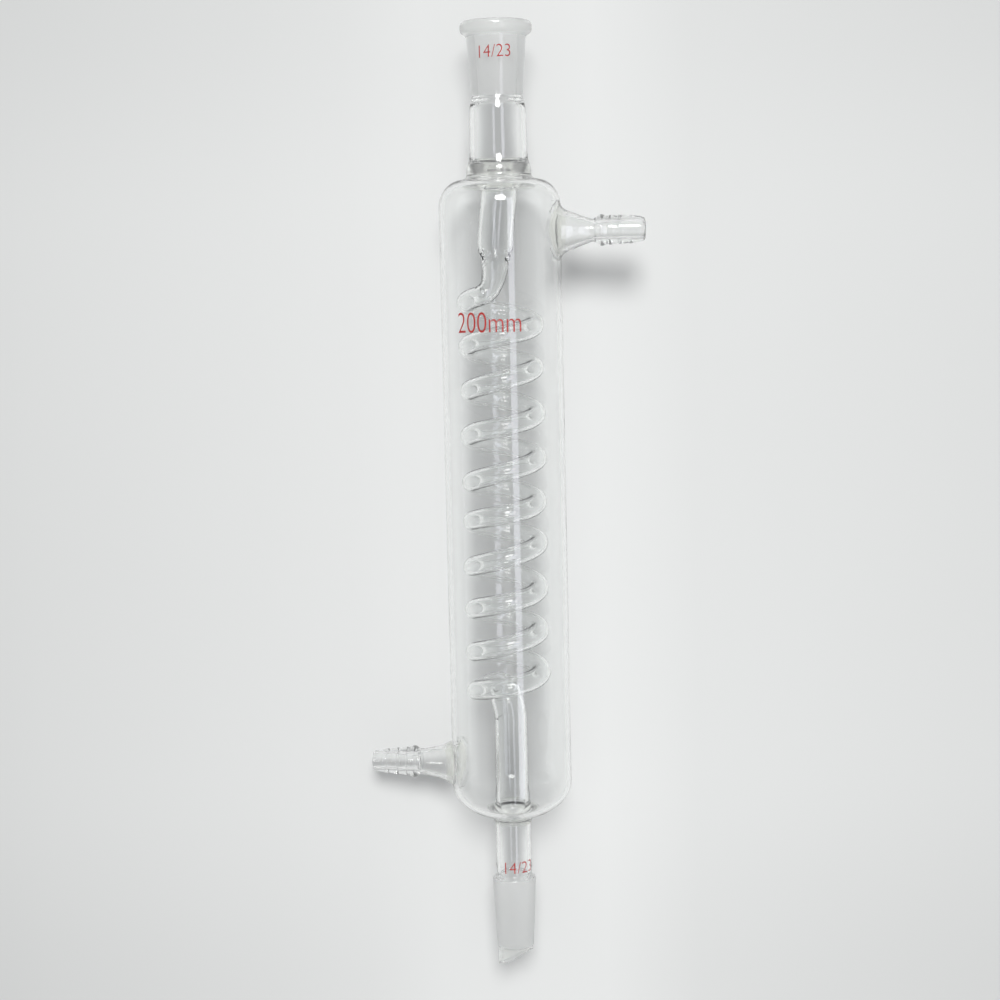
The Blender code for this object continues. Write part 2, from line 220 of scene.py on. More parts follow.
def paper(name):
    """White bench paper with painted light: a painted pool of light under and beside the glass, and
    painted fall-off of light away from it and beyond its ends.
    """
    material, tree, out = new_material(name)
    colour, _ = noise_between(tree, 3, (0.985, 0.985, 0.985), (1.0, 1.0, 1.0), detail=4.0)
    where = node(tree, "ShaderNodeTexCoord")
    apart = node(tree, "ShaderNodeSeparateXYZ")
    tree.links.new(where.outputs["Object"], apart.inputs[0])

    spread = node(tree, "ShaderNodeMapRange")
    set_range(spread, -PAPER_REACH, PAPER_REACH)
    # The ramp across paints light onto the paper: a pool of light beside the glass and dimmer paper
    # away from it.
    across = node(tree, "ShaderNodeValToRGB")
    stops = across.color_ramp.elements
    for place, level in PAPER_PAINTED_LIGHT:
        if abs(place) < PAPER_REACH:
            stop = stops.new(0.5 + 0.5 * place / PAPER_REACH)
        else:
            stop = stops[0] if place < 0 else stops[-1]
        stop.color = tuple(level * tone for tone in PAPER_TONE) + (1,)
    toned = node(tree, "ShaderNodeMix", data_type="RGBA", blend_type="MULTIPLY")
    toned.inputs[0].default_value = 1.0
    tree.links.new(apart.outputs["X"], spread.inputs["Value"])
    tree.links.new(spread.outputs["Result"], across.inputs["Fac"])
    tree.links.new(across.outputs["Color"], toned.inputs[6])
    tree.links.new(colour, toned.inputs[7])

    # Painted fall-off of light on the paper beyond the ends of the glass.
    distance = node(tree, "ShaderNodeMath", operation="ABSOLUTE")
    ends = node(tree, "ShaderNodeMapRange", interpolation_type="SMOOTHSTEP")
    set_range(ends, *PAPER_PAINTED_END_FALLOFF)
    painted_falloff = node(tree, "ShaderNodeVectorMath", operation="SCALE")
    tree.links.new(apart.outputs["Y"], distance.inputs[0])
    tree.links.new(distance.outputs[0], ends.inputs["Value"])
    tree.links.new(toned.outputs[2], painted_falloff.inputs[0])
    tree.links.new(ends.outputs["Result"], painted_falloff.inputs["Scale"])

    body = node(tree, "ShaderNodeBsdfPrincipled")
    body.inputs["Roughness"].default_value = 0.9
    body.inputs["Specular IOR Level"].default_value = 0.1
    tree.links.new(painted_falloff.outputs[0], body.inputs["Base Color"])
    tree.links.new(body.outputs["BSDF"], out.inputs["Surface"])
    return material


PALE = ((0.995, 0.998, 0.996), (0.985, 0.992, 0.989))
DRAWN = ((0.992, 0.996, 0.994), (0.985, 0.990, 0.987))
GREENISH = ((0.985, 0.995, 0.96), (0.97, 0.985, 0.92))
CLOUDY = ((0.99, 0.998, 0.985), (0.98, 0.99, 0.965))
FROSTED = ((0.99, 0.995, 0.99), (0.98, 0.985, 0.98))

CLEAR = glass("clear_glass", PALE, 0.10, (0.85, 1.0), turn=(0.30, 0.52))
DOME = glass("dome_glass", PALE, 0.10, (0.865, 0.90))
TUBING = glass("tubing_glass", PALE, 0.25, (0.79, 0.58))
BARB = glass("barb_glass", PALE, 0.25, (0.68, 0.40), roughness=0.02, scatter=0.08)
COIL = glass("coil_glass", DRAWN, 0.12, (0.96, 0.72))
SEAL = glass("seal_glass", GREENISH, 0.4, (0.85, 0.60), roughness=0.05, scatter=0.24)
MILKY = glass("milky_glass", CLOUDY, 0.4, (0.80, 0.55), roughness=0.10, scatter=0.30)
GROUND = glass("ground_glass", FROSTED, 0.3, (0.82, 0.66), roughness=0.50, scatter=0.68)
CONE = glass("ground_cone_glass", FROSTED, 0.3, (0.62, 0.55), roughness=0.45, scatter=0.60)
PRINT = enamel("red_enamel")
PAPER = paper("bench_paper_painted_light")


# ---------------------------------------------------------------- outlines and meshes


def smooth(t):
    """Eases from 0 to 1 as t goes from 0 to 1."""
    return t * t * (3 - 2 * t)


def curved(points, each):
    """A smooth line through points (Catmull-Rom), with each steps between two of them."""
    p = [np.array(q, float) for q in points]
    p = [2 * p[0] - p[1]] + p + [2 * p[-1] - p[-2]]
    found = []
    for i in range(1, len(p) - 2):
        for k in range(each):
            t = k / each
            found.append(
                0.5
                * (
                    2 * p[i]
                    + (p[i + 1] - p[i - 1]) * t
                    + (2 * p[i - 1] - 5 * p[i] + 4 * p[i + 1] - p[i + 2]) * t**2
                    + (3 * p[i] - p[i - 1] - 3 * p[i + 1] + p[i + 2]) * t**3
                )
            )
    return [tuple(q) for q in found] + [tuple(p[-2])]


def arc(r0, z0, across, up, start, end, count):
    """Part of an ellipse about (r0, z0), from one angle in degrees to another."""
    found = []
    for k in range(count + 1):
        t = math.radians(start + (end - start) * k / count)
        found.append((r0 + across * math.cos(t), z0 + up * math.sin(t)))
    return found


def straight(r, high, low, step):
    count = max(1, round(abs(high - low) / step))
    return [(r, high + (low - high) * k / count) for k in range(count + 1)]


def without_repeats(points, near=0.02):
    """The outline without points that repeat the one before."""
    kept = [points[0]]
    for p in points[1:]:
        if math.dist(p, kept[-1]) > near:
            kept.append(p)
    return kept


def lathe(outline, around=AROUND, closed=False):
    """Points and faces of an outline of (radius, z) turned about Z.

    An outline that runs down its outer side gives faces that point outwards.
    """
    outline = np.array(outline, float)
    angle = np.arange(around) * 2 * math.pi / around
    points = np.stack(
        [
            np.outer(outline[:, 0], np.cos(angle)),
            np.outer(outline[:, 0], np.sin(angle)),
            np.outer(outline[:, 1], np.ones(around)),
        ],
        axis=-1,
    ).reshape(-1, 3)
    rows = len(outline)
    faces = []
    for i in range(rows if closed else rows - 1):
        a, b = i * around, ((i + 1) % rows) * around
        for j in range(around):
            k = (j + 1) % around
            faces.append((a + j, b + j, b + k, a + k))
    return points, faces


def joined(*patches):
    """One mesh from several (points, faces), and for each face the number of its patch."""
    points, faces, groups = [], [], []
    offset = 0
    for number, (patch_points, patch_faces) in enumerate(patches):
        points.append(np.asarray(patch_points, float))
        faces += [tuple(offset + i for i in face) for face in patch_faces]
        groups += [number] * len(patch_faces)
        offset += len(patch_points)
    return np.vstack(points), faces, groups


def new_object(name, data):
    obj = bpy.data.objects.new(name, data)
    bpy.context.scene.collection.objects.link(obj)
    return obj


def upright(name, points, faces):
    """A mesh object that is still upright and in millimetres, for the Booleans."""
    mesh = bpy.data.meshes.new(name)
    mesh.from_pydata([tuple(p) for p in points], [], faces)
    return new_object(name, mesh)


def make(name, points, faces, materials, sharp=None):
    """A finished piece in its place on the bench."""
    mesh = bpy.data.meshes.new(name)
    mesh.from_pydata([tuple(p) for p in points], [], faces)
    mesh.transform(TO_WORLD)
    mesh.update()
    for material in materials:
        mesh.materials.append(material)
    obj = new_object(name, mesh)
    mesh.shade_smooth()
    if sharp:
        mesh.set_sharp_from_angle(angle=math.radians(sharp))
    return obj


def face_outwards(obj):
    bm = bmesh.new()
    bm.from_mesh(obj.data)
    bmesh.ops.remove_doubles(bm, verts=bm.verts, dist=1e-6)
    bmesh.ops.recalc_face_normals(bm, faces=bm.faces)
    bm.to_mesh(obj.data)
    bm.free()


def combine(obj, other, operation):
    step = obj.modifiers.new(operation.lower(), "BOOLEAN")
    step.operation, step.solver, step.object = operation, "MANIFOLD", other
    graph = bpy.context.evaluated_depsgraph_get()
    mesh = bpy.data.meshes.new_from_object(obj.evaluated_get(graph))
    obj.modifiers.clear()
    obj.data = mesh
    bpy.data.objects.remove(other, do_unlink=True)


# ---------------------------------------------------------------- jacket, ring seals and side arms

# The jacket's long rows run between the two arms, and short ones where an arm joins it.
ARM_ROWS_HIGH, ARM_ROWS_LOW = 225.0, 95.0
SHORT_ROW, LONG_ROW = 1.6, 6.5


def jacket_side(radius):
    return (
        straight(radius, HIGH_Z, ARM_ROWS_HIGH, SHORT_ROW)
        + straight(radius, ARM_ROWS_HIGH, ARM_ROWS_LOW, LONG_ROW)
        + straight(radius, ARM_ROWS_LOW, LOW_Z, SHORT_ROW)
    )


# Outer skin of the jacket, from the neck down to the stem.
NECK_FOOT = (
    (NECK_R, NECK_CUT),
    (9.46, 273.2),
    (9.66, 271.6),
    (10.02, 270.0),
    (10.42, 268.7),
    (10.65, 267.5),
    (10.6, 266.4),
    (11.0, 265.4),
    (12.2, 264.8),
)
STEM_HEAD = ((9.4, 53.0), (8.1, 52.65), (7.2, 52.1), (6.55, 51.3), (6.15, 50.2), (TUBE_R, 48.8))
outer = without_repeats(
    curved(NECK_FOOT, 4)
    + arc(12.0, HIGH_Z, 8.0, 8.95, 82, 0, 16)
    + jacket_side(JACKET_R)
    + arc(0.0, LOW_Z, JACKET_R, 12.7, 0, -62, 18)
    + curved(STEM_HEAD, 4)
    + [(TUBE_R, STEM_CUT)]
)

# Wall of the water space: up the drop tube, round the jacket's inside, up the outlet tube.
CROWN_SEAL = (
    (6.0, 259.0),
    (6.05, 261.5),
    (6.45, 263.1),
    (7.2, 264.0),
    (8.4, 264.15),
    (9.9, 263.7),
    (12.0, 263.15),
)
BASE_SEAL = (
    (9.25, 54.5),
    (8.3, 54.45),
    (7.3, 54.9),
    (6.5, 55.8),
    (6.0, 57.2),
    (5.75, 59.5),
    (OUTLET_R, 63.0),
)
water = without_repeats(
    straight(TUBE_R, 259.0, DROP_FOOT, 1.5)[::-1]
    + curved(CROWN_SEAL, 5)
    + arc(12.0, HIGH_Z, 6.5, 7.35, 90, 0, 14)
    + jacket_side(JACKET_BORE)
    + arc(0.0, LOW_Z, JACKET_BORE, 11.2, 0, -60, 14)
    + curved(BASE_SEAL, 5)
    + straight(OUTLET_R, 63.0, OUTLET_HEAD, 3.0)
)


def radius_at(outline, z, wider_than=11.5):
    """Radius of the jacket's outline at a height, leaving out its neck, stem and inner tubes."""
    body = sorted((height, r) for r, height in outline if r > wider_than)
    return float(np.interp(z, *zip(*body)))


def blank():
    """The jacket as a closed solid, with a solid rod where the inner tubes will run."""
    points, faces = lathe(outer)
    last = len(points)
    faces += [tuple(range(AROUND)), tuple(reversed(range(last - AROUND, last)))]
    water_points, water_faces = lathe(water, closed=True)
    faces += [tuple(last + i for i in reversed(face)) for face in water_faces]
    return upright("jacket_blank", np.vstack([points, water_points]), faces)


ARM_AROUND = 96
FOOT_SWELL = 3.0  # lift over which the foot's hand-worked swellings die out
FOOT_LEVEL = 5.0  # lift at which a row no longer follows the jacket's round side


def draped(height, side, outline, rows, floor):
    """A solid arm or bore, from rows of (radius, lift off the jacket's outline), foot first."""
    columns = []
    for j in range(ARM_AROUND):
        a = 2 * math.pi * j / ARM_AROUND
        column = []
        for rho, lift in rows:
            near = max(0.0, 1 - lift / FOOT_SWELL)
            swell = 0.020 * math.sin(5 * a + 1.1 * side) + 0.014 * math.sin(13 * a + 2.0)
            rho *= 1 + near * swell
            across, up = rho * math.cos(a), rho * math.sin(a)
            skin = math.sqrt(max(1.0, radius_at(outline, height + up) ** 2 - across * across))
            level = min(1.0, max(0.0, lift / FOOT_LEVEL))
            out = skin * (1 - level) + radius_at(outline, height) * level + lift
            column.append((across, up, out))
        columns.append([(*column[0][:2], floor)] + column)
    points = [(side * out, -side * u, height + v) for column in columns for u, v, out in column]
    count = len(rows) + 1
    faces = []
    for j in range(ARM_AROUND):
        a, b = j * count, (j + 1) % ARM_AROUND * count
        faces += [(a + i, b + i, b + i + 1, a + i + 1) for i in range(count - 1)]
    faces.append(tuple(j * count + count - 1 for j in range(ARM_AROUND)))
    faces.append(tuple(j * count for j in range(ARM_AROUND))[::-1])
    obj = upright("arm", points, faces)
    face_outwards(obj)
    return obj


UPPER_SKIN = (
    (9.8, -0.05),
    (8.9, 0.12),
    (8.0, 0.50),
    (7.1, 1.4),
    (6.5, 2.7),
    (5.95, 4.2),
    (5.1, 6.2),
    (4.3, 8.4),
    (3.75, 10.2),
    (3.6, 11.2),
)
LOWER_SKIN = (
    (8.6, -0.05),
    (8.0, 0.16),
    (7.4, 0.50),
    (6.9, 1.2),
    (6.3, 2.4),
    (5.7, 4.0),
    (5.2, 6.0),
    (4.75, 8.2),
    (4.45, 10.0),
    (4.35, 11.2),
)
# The bores' rows share their lifts. They run a little past the arms, so that they open them.
BORE_LIFTS = (-0.05, 0.10, 0.42, 1.1, 2.1, 3.6, 5.8, 8.2, 10.2, 12.0, 14.0)
UPPER_BORE = tuple(zip((9.6, 8.6, 7.6, 6.7, 5.9, 5.2, 4.4, 3.6, 3.0, 2.7, 2.6), BORE_LIFTS))
LOWER_BORE = tuple(zip((8.4, 7.6, 6.8, 6.1, 5.5, 4.9, 4.3, 3.8, 3.4, 3.1, 3.0), BORE_LIFTS))
SKIN_FLOOR, BORE_FLOOR = 17.0, 13.0  # how near the axis the arms and the bores start

jacket = blank()
combine(jacket, draped(ARM_UP, 1, outer, curved(UPPER_SKIN, 3), SKIN_FLOOR), "UNION")
combine(jacket, draped(ARM_DOWN, -1, outer, curved(LOWER_SKIN, 3), SKIN_FLOOR), "UNION")
combine(jacket, draped(ARM_UP, 1, water, curved(UPPER_BORE, 3), BORE_FLOOR), "DIFFERENCE")
combine(jacket, draped(ARM_DOWN, -1, water, curved(LOWER_BORE, 3), BORE_FLOOR), "DIFFERENCE")

EDGE = 0.01  # tells a point on a cut from one just off it


def is_open(heights, radii):
    """True for a face of the blank's end caps or of its rod, where the real glass is open."""
    cap = heights.min() > NECK_CUT - EDGE or heights.max() < STEM_CUT + EDGE
    between = heights.max() > OUTLET_HEAD + EDGE and heights.min() < DROP_FOOT - EDGE
    rod = between and radii.max() < TUBE_R + EDGE
    return cap or rod


def jacket_glass_at(z, r, across, area):
    """The glass of a face of the jacket, from its middle and its area."""
    crown_seal = 262.5 < z < 269.5 and r < 12.3
    base_seal = 50.0 < z < 57.0 and r < 9.0
    beside_arm = min(abs(z - ARM_UP), abs(z - ARM_DOWN)) < 11.0 and abs(across) > 17.0
    arm_foot = 19.0 < r < 22.0 and beside_arm and area < 0.35
    if crown_seal or base_seal or arm_foot:
        return SEAL
    if r > JACKET_R + 1.0:
        return BARB
    if z > 269.5 or z < 50.0 or r < TUBE_R + 0.6:
        return TUBING
    if z > 252.0 or z < 66.0:
        return DOME
    return CLEAR


def lean(points):
    """The drop tube drifts to the left on its way down from the ring seal."""
    points = np.array(points, float)
    t = np.clip((264.0 - points[:, 2]) / 21.0, 0, 1)
    near = (np.hypot(points[:, 0], points[:, 1]) < TUBE_R + 0.6) & (points[:, 2] > 150.0)
    points[near] += np.outer(LEAN * smooth(t)[near], LEFT)
    return points


def finished_jacket():
    """The combined blank without its caps and its rod, with a glass for each face."""
    points = np.array([v.co for v in jacket.data.vertices])
    radius = np.hypot(points[:, 0], points[:, 1])
    looks = [CLEAR, SEAL, BARB, TUBING, DOME]
    kept, slots = [], []
    for polygon in jacket.data.polygons:
        ids = list(polygon.vertices)
        z, r = points[ids, 2], radius[ids]
        if is_open(z, r):
            continue
        kept.append(tuple(ids))
        look = jacket_glass_at(z.mean(), r.mean(), points[ids, 0].mean(), polygon.area)
        slots.append(looks.index(look))
    obj = make("jacket_and_arms", lean(points), kept, looks, 35)
    for polygon, index in zip(obj.data.polygons, slots):
        polygon.material_index = index
    bpy.data.objects.remove(jacket, do_unlink=True)
    return obj


jacket_glass = finished_jacket()


# ---------------------------------------------------------------- drop tube's foot, coil, outlet's head

COIL_R, COIL_MEAN = 3.3, 10.85
COIL_OFF_AXIS = 0.45  # the whole coil sits a little to the left
# Heights at which the coil passes its left side, from the lowest: wound by hand, so not even.
COIL_PASSES = (95.3, 108.9, 122.8, 137.6, 152.4, 165.8, 180.7, 196.0, 210.2, 225.0, 239.4)
COIL_TOP = 9 + 55 / 360  # turns
COIL_STEPS = 900
INLET_STEPS = 60
# The inlet bend narrows from the drop tube to the coil: (height, radius).
INLET_RADII = (
    (226.0, COIL_R),
    (230.0, 3.55),
    (233.0, 4.0),
    (237.5, 4.6),
    (240.5, 5.2),
    (241.8, 5.75),
    (DROP_FOOT, TUBE_R),
)
# The last turn ends in a tight bend behind it, then drops to the axis: (left, behind, height).
OUTLET_KNEE = (
    (8.2, 5.6, 95.7),
    (4.4, 5.8, 96.2),
    (2.0, 3.0, 94.6),
    (1.0, 0.8, 91.5),
    (0.3, 0.1, 88.6),
)
TUBE_WALL, COIL_WALL, OUTLET_WALL = 1.2, 0.95, 1.10


def coil(turn):
    """A point on the coil's centreline, a number of turns up from its lowest pass on the left."""
    angle = math.pi + ROLL + 2 * math.pi * turn
    mean = COIL_MEAN + 0.16 * math.sin(2.3 * turn + 0.4) + 0.10 * math.sin(7.1 * turn)
    z = float(np.interp(turn, np.arange(len(COIL_PASSES)), COIL_PASSES))
    z += 0.25 * math.sin(9.4 * turn + 1.0)
    return np.array([mean * math.cos(angle), mean * math.sin(angle), z]) + COIL_OFF_AXIS * LEFT


def heading(turn):
    d = coil(turn - 0.001) - coil(turn)
    return d / np.linalg.norm(d)


def eased(p0, m0, p1, m1, count):
    """A Hermite curve from p0 to p1 that leaves along m0 and arrives along m1."""
    found = []
    for k in range(count + 1):
        t = k / count
        found.append(
            p0 * (2 * t**3 - 3 * t**2 + 1)
            + m0 * (t**3 - 2 * t**2 + t)
            + p1 * (-2 * t**3 + 3 * t**2)
            + m1 * (t**3 - t**2)
        )
    return found


def inner_line():
    """Centreline, radius and wall along the drop tube's foot, the coil and the outlet's head."""
    start = np.array([0, 0, DROP_FOOT]) + LEAN * LEFT
    end = np.array([0, 0, OUTLET_HEAD])
    inlet = eased(start, DOWN * 26, coil(COIL_TOP), heading(COIL_TOP) * 16, INLET_STEPS)[:-1]
    spiral = [coil(COIL_TOP * (1 - k / COIL_STEPS)) for k in range(COIL_STEPS + 1)]
    knee = [left * LEFT + behind * BEHIND + np.array([0, 0, z]) for left, behind, z in OUTLET_KNEE]
    fine = 12
    outlet = curved([coil(0.09), coil(0.0)] + knee + [end, end + DOWN * 3], fine)[fine:-fine]
    outlet = [np.array(p) for p in outlet]

    narrowing = [smooth(min(1.0, k / 42)) for k in range(INLET_STEPS)]
    widening = [smooth(min(1.0, k / (0.62 * len(outlet)))) for k in range(1, len(outlet))]
    radii = [float(np.interp(p[2], *zip(*INLET_RADII))) for p in inlet]
    radii += [COIL_R * (1 + 0.02 * math.sin(0.11 * k)) for k in range(COIL_STEPS + 1)]
    radii += [COIL_R + (OUTLET_R - COIL_R) * w for w in widening]
    walls = [TUBE_WALL + (COIL_WALL - TUBE_WALL) * n for n in narrowing]
    walls += [COIL_WALL] * (COIL_STEPS + 1)
    walls += [COIL_WALL + (OUTLET_WALL - COIL_WALL) * w for w in widening]
    return np.array(inlet + spiral + outlet[1:]), np.array(radii), np.array(walls)


def sweep(path, radii, inward, around=48):
    """A tube's skin along a path, its frame carried along without twist."""
    tangent = np.gradient(path, axis=0)
    tangent /= np.linalg.norm(tangent, axis=1)[:, None]
    tangent[0], tangent[-1] = DOWN, DOWN
    side = np.array([1.0, 0, 0])
    angle = np.arange(around) * 2 * math.pi / around
    points, faces = [], []
    for centre, radius, t in zip(path, radii, tangent):
        side = side - t * np.dot(side, t)
        side /= np.linalg.norm(side)
        up = np.cross(side, t)
        ring = np.outer(np.cos(angle), side) + np.outer(np.sin(angle), up)
        points.append(centre + radius * ring)
    for i in range(len(path) - 1):
        a, b = i * around, (i + 1) * around
        for j in range(around):
            k = (j + 1) % around
            face = (a + j, b + j, b + k, a + k)
            faces.append(face[::-1] if inward else face)
    return np.vstack(points), faces


def crinkled(points, depth, middle=239.6, reach=3.6):
    """Small folds round the tube where two pieces were fused."""
    away = points - np.array([*(LEAN * LEFT)[:2], 0.0])
    turn = np.arctan2(away[:, 1], away[:, 0])
    near = np.clip(1 - ((points[:, 2] - middle) / reach) ** 2, 0, 1)
    fold = np.sin(6 * turn + 1.9 * points[:, 2]) * 0.6
    fold += np.sin(11 * turn - 2.7 * points[:, 2] + 1) * 0.4
    points[:, 0] += depth * near * fold * np.cos(turn)
    points[:, 1] += depth * near * fold * np.sin(turn)
    return points


path, radii, walls = inner_line()
skin, skin_faces = sweep(path, radii, inward=False)
bore, bore_faces = sweep(path, radii - walls, inward=True)
points, faces, _ = joined((crinkled(skin, 0.15), skin_faces), (crinkled(bore, 0.26), bore_faces))
coil_glass = make("coil_and_bends", points, faces, [COIL])


# ---------------------------------------------------------------- socket and neck

SOCKET_FOOT = (9.75, 310.4)
SOCKET_RIM = (
    (8.1, LENGTH),
    (10.3, 315.38),
    (11.2, 315.1),
    (11.7, 314.2),
    (11.75, 312.9),
    (11.35, 311.8),
    (10.3, 311.1),
    SOCKET_FOOT,
)
SOCKET_SIDE = (
    SOCKET_FOOT,
    (9.55, 307.0),
    (8.95, 299.5),
    (8.42, 292.8),
    (8.36, 291.5),
    (8.60, 290.3),
    (8.96, 288.9),
    (9.24, 287.1),
    (NECK_R, 284.6),
)
GROUND_TOP, GROUND_FOOT = (7.25, 314.9), (6.1, 291.4)  # the 1:10 taper, 14.5 mm wide at its top
GROUND_MIDDLE = ((GROUND_TOP[0] + GROUND_FOOT[0]) / 2, 303.5)
NECK_FUNNEL = (
    (NECK_BORE, 271.5),
    (7.8, 270.6),
    (7.35, 269.5),
    (6.7, 268.3),
    (5.95, 267.0),
    (5.3, 265.7),
    (4.9, 264.2),
    (TUBE_BORE, 262.5),
)
socket_outer = without_repeats(
    curved(SOCKET_RIM, 5) + curved(SOCKET_SIDE, 5) + straight(NECK_R, 284.6, NECK_CUT, 3.0)
)
socket_bore = without_repeats(
    curved([(8.1, LENGTH), (7.5, 315.25), GROUND_TOP], 4)
    + [GROUND_TOP, GROUND_MIDDLE, GROUND_FOOT]
    + curved([GROUND_FOOT, (6.25, 290.4), (7.2, 289.1), (7.8, 287.6), (NECK_BORE, 285.7)], 5)
    + straight(NECK_BORE, 285.7, 271.5, 3.0)
    + curved(NECK_FUNNEL, 5)
    + straight(TUBE_BORE, 262.5, DROP_FOOT, 1.5)
)


def middle_heights(points, faces):
    return [np.mean([points[i][2] for i in face]) for face in faces]


points, faces, groups = joined(lathe(socket_outer), lathe(socket_bore[::-1]))
heights = middle_heights(points, faces)
looks = [TUBING, GROUND, SEAL, MILKY]
socket_glass = make("socket_and_neck", lean(points), faces, looks, 50)
for polygon, group, z in zip(socket_glass.data.polygons, groups, heights):
    inside = group == 1
    if inside and GROUND_FOOT[1] < z < GROUND_TOP[1]:
        polygon.material_index = looks.index(GROUND)
    elif inside and 264.5 < z < 269.0:
        polygon.material_index = looks.index(SEAL)
    elif z > 310.2:
        polygon.material_index = looks.index(MILKY)


# ---------------------------------------------------------------- stem, ground cone and drip tip

CONE_HEAD, CONE_FOOT = (7.25, 30.9), (6.1, 7.9)
TIP_R, TIP_BORE, TIP_TOP = 5.8, 4.5, 7.2
TIP_ROWS = 6
stem_outer = without_repeats(
    straight(TUBE_R, STEM_CUT, 33.5, 3.0)
    + curved([(TUBE_R, 33.5), (6.15, 32.5), (6.9, 31.7), CONE_HEAD], 4)
    + [CONE_HEAD, CONE_FOOT]
    + curved([CONE_FOOT, (5.95, 7.6), (TIP_R, TIP_TOP)], 3)
)
stem_bore = without_repeats(
    straight(OUTLET_BORE, OUTLET_HEAD, 60.0, 4.0)
    + curved([(OUTLET_BORE, 60.0), (4.6, 56.0), (TUBE_BORE, 52.0)], 4)
    + straight(TUBE_BORE, 52.0, 36.0, 4.0)
    + curved([(TUBE_BORE, 36.0), (4.75, 33.0), (4.7, 20.0), (TIP_BORE, TIP_TOP)], 4)
)


def tip_end(angle):
    """Height of the slanted cut: longest at the left towards the bench, shortest opposite."""
    return 3.6 + 3.5 * math.cos(angle - ROLL + math.radians(45))


def drip_tip():
    """The tip's skin down to the slanted cut and its bore back up."""
    rings = [(TIP_R, k / TIP_ROWS) for k in range(TIP_ROWS + 1)]
    rings += [(TIP_BORE, 1 - k / TIP_ROWS) for k in range(TIP_ROWS + 1)]
    points = []
    for radius, share in rings:
        for angle in np.arange(AROUND) * 2 * math.pi / AROUND:
            z = TIP_TOP + (tip_end(angle) - TIP_TOP) * share
            points.append((radius * math.cos(angle), radius * math.sin(angle), z))
    faces = []
    for i in range(len(rings) - 1):
        a, b = i * AROUND, (i + 1) * AROUND
        for j in range(AROUND):
            k = (j + 1) % AROUND
            faces.append((a + j, b + j, b + k, a + k))
    return points, faces


points, faces, groups = joined(lathe(stem_outer), lathe(stem_bore[::-1]), drip_tip())
heights = middle_heights(points, faces)
looks = [TUBING, CONE, MILKY]
stem_glass = make("stem_cone_and_tip", points, faces, looks, 50)
for polygon, group, z in zip(stem_glass.data.polygons, groups, heights):
    if group == 0 and CONE_FOOT[1] < z < 31.2:
        polygon.material_index = looks.index(CONE)
    elif z < 8.0:
        polygon.material_index = looks.index(MILKY)


# ---------------------------------------------------------------- hose barbs

BARB_BORE = 2.1
COLLAR_BORE = 2.3
# The barb's rounded end and its three ridges, each as (radius, distance back from the end).
BARB_RIDGES = (
    ((2.5, 0.0), (2.95, 0.2), (3.35, 0.8), (3.65, 1.9), (3.85, 3.2)),
    ((3.85, 3.2), (4.1, 4.4), (4.2, 5.0), (4.0, 5.4)),
    ((4.0, 5.4), (4.35, 7.4), (4.55, 8.5), (4.3, 8.9)),
    ((4.3, 8.9), (4.7, 10.7), (4.85, 11.7), (4.6, 12.1)),
)
# The collar, as (radius, distance out from the joint with the arm).
BARB_COLLAR = ((4.95, 3.4), (5.3, 2.6), (5.35, 2.0), (5.0, 1.3), (4.5, 0.7), (4.3, 0.03))


def barb_outline():
    found = [(BARB_BORE, BARB_END)]
    for ridge in BARB_RIDGES:
        found += curved([(r, BARB_END - back) for r, back in ridge], 3)
    collar = [(r, ARM_JOINT + out) for r, out in BARB_COLLAR]
    found += curved([found[-1]] + collar, 4)
    return without_repeats(found + [(COLLAR_BORE, ARM_JOINT + BARB_COLLAR[-1][1])])


def barb(name, height, side, near, far):
    """A barb on the arm at a height; near and far scale its width at the joint and the end."""
    points, faces = lathe(barb_outline(), 72, closed=True)
    turned = np.arctan2(points[:, 1], points[:, 0])
    wobble = 0.012 * np.sin(3 * turned + side) * np.cos(0.9 * points[:, 2])
    points[:, :2] *= (1 + wobble)[:, None]
    along = (points[:, 2] - ARM_JOINT) / (BARB_END - ARM_JOINT)
    points[:, :2] *= (near + (far - near) * along)[:, None]
    placed = np.stack([side * points[:, 2], side * points[:, 1], height - points[:, 0]], axis=-1)
    obj = make(name, placed, faces, [BARB], 40)
    face_outwards(obj)
    return obj


upper_barb = barb("upper_barb", ARM_UP, 1, 0.92, 1.17)
lower_barb = barb("lower_barb", ARM_DOWN, -1, 1.0, 1.0)


# ---------------------------------------------------------------- printing on the glass

FRONT = ROLL - math.pi / 2  # the angle round the axis that faces straight up
PRINT_LIFT = 0.03
PRINT_STRIP = 0.35  # the figures are cut into strips this wide, so that they can wrap
PRINT_THINNER = -0.012  # strokes are this much slimmer than the type face's


def text_mesh(name, words):
    curve = bpy.data.curves.new(name, "FONT")
    curve.body = words
    curve.offset = PRINT_THINNER
    flat = new_object(name, curve)
    graph = bpy.context.evaluated_depsgraph_get()
    mesh = bpy.data.meshes.new_from_object(flat.evaluated_get(graph))
    bpy.data.objects.remove(flat, do_unlink=True)
    return mesh


